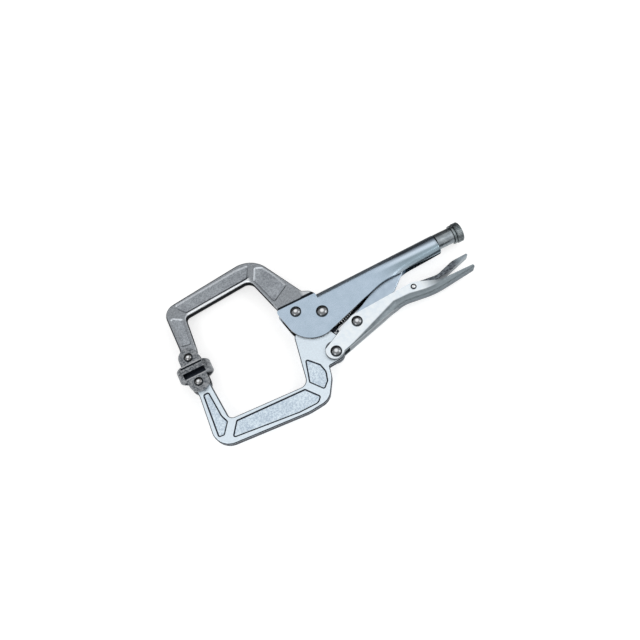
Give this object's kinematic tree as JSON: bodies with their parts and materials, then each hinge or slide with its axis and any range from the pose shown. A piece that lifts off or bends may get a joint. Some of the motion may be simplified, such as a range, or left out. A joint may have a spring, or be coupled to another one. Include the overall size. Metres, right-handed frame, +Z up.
{
  "type": "locking pliers",
  "caption": "Locking C-clamp pliers with two forged C-shaped jaws, swivel pads, a toggle lever with a release lever beside it, and a knurled adjusting knob at the handle's end.",
  "frame": {"origin": "bottom centre of the bounding box, with the tool lying flat and its jaws closed", "axes": "+X along the handle towards the adjusting knob, +Y towards the fixed jaw, +Z up through the thickness"},
  "size_m": [0.2868, 0.1552, 0.0236],
  "materials": {
    "plated_sheet": "bright plated sheet steel, fine drawn grain",
    "forged_upper_jaw": "plated forging, satin, fine grain in the sunk panels",
    "forged_lower_jaw": "plated forging, satin, fine grain in the sunk panels",
    "rivet_steel": "polished domed heads",
    "link_steel": "plain plated plate",
    "release_steel": "darker plated strip",
    "bushing_steel": "turned",
    "screw_steel": "threaded, plated",
    "knob_steel": "turned, knurled rim",
    "pad_steel": "pressed, satin, darker plating",
    "spring_wire": "drawn wire"
  },
  "bodies": {
    "handle": {"handle_shell": "plated_sheet", "fixed_jaw": "forged_upper_jaw", "fixed_jaw_rivet": "rivet_steel", "jaw_pivot_rivet": "rivet_steel", "screw_bushing": "bushing_steel", "spring_anchor": "link_steel", "tension_spring": "spring_wire"},
    "lower_jaw": {"moving_jaw": "forged_lower_jaw"},
    "lever": {"lever_handle": "plated_sheet", "lever_pivot_rivet": "rivet_steel", "link_rivet": "rivet_steel", "release_rivet": "rivet_steel"},
    "link": {"toggle_link": "link_steel"},
    "release": {"release_lever": "release_steel"},
    "screw": {"adjusting_screw": "screw_steel"},
    "knob": {"knurled_knob": "knob_steel"},
    "top_pad": {"upper_pad": "pad_steel", "upper_pad_pin": "rivet_steel"},
    "bottom_pad": {"lower_pad": "pad_steel", "lower_pad_pin": "rivet_steel"}
  },
  "joints": [
    {"name": "jaw_open", "type": "hinge", "parent": "handle", "child": "lower_jaw", "pos_m": [-0.0047, -0.00151, 0.0118], "axis": [0, 0, 1], "range_deg": [0, 38], "deforming": ["tension_spring"]},
    {"name": "lever_swing", "type": "hinge", "parent": "lower_jaw", "child": "lever", "pos_m": [-0.0103, -0.04071, 0.0118], "axis": [0, 0, 1], "range_deg": [-96, 0]},
    {"name": "link_swing", "type": "hinge", "parent": "lever", "child": "link", "pos_m": [0.0182, -0.02441, 0.0118], "axis": [0, 0, 1], "range_deg": [0, 87.5]},
    {"name": "upper_pad_swivel", "type": "hinge", "parent": "handle", "child": "top_pad", "pos_m": [-0.1279, 0.01429, 0.0118], "axis": [0, 0, 1], "range_deg": [0, 19.1]},
    {"name": "lower_pad_swivel", "type": "hinge", "parent": "lower_jaw", "child": "bottom_pad", "pos_m": [-0.1279, -0.01011, 0.0118], "axis": [0, 0, 1], "range_deg": [-19.1, 0]},
    {"name": "release_press", "type": "hinge", "parent": "lever", "child": "release", "pos_m": [0.0775, -0.01861, 0.0118], "axis": [0, 0, 1], "range_deg": [-7, 0]},
    {"name": "screw_travel", "type": "slide", "parent": "handle", "child": "screw", "axis": [1, 0, 0], "range_m": [0, 0.012]},
    {"name": "knob_turn", "type": "hinge", "parent": "screw", "child": "knob", "pos_m": [0.1346, 0.01299, 0.0118], "axis": [1, 0, 0], "range_deg": [0, 2880]}
  ],
  "couplings": [
    {"joint": "lever_swing", "follows": "jaw_open", "ratio": -2.5169},
    {"joint": "link_swing", "follows": "jaw_open", "ratio": 2.2943},
    {"joint": "upper_pad_swivel", "follows": "jaw_open", "ratio": 0.5},
    {"joint": "lower_pad_swivel", "follows": "jaw_open", "ratio": -0.5},
    {"joint": "screw_travel", "follows": "knob_turn", "m_per_rad": 0.00019894}
  ]
}
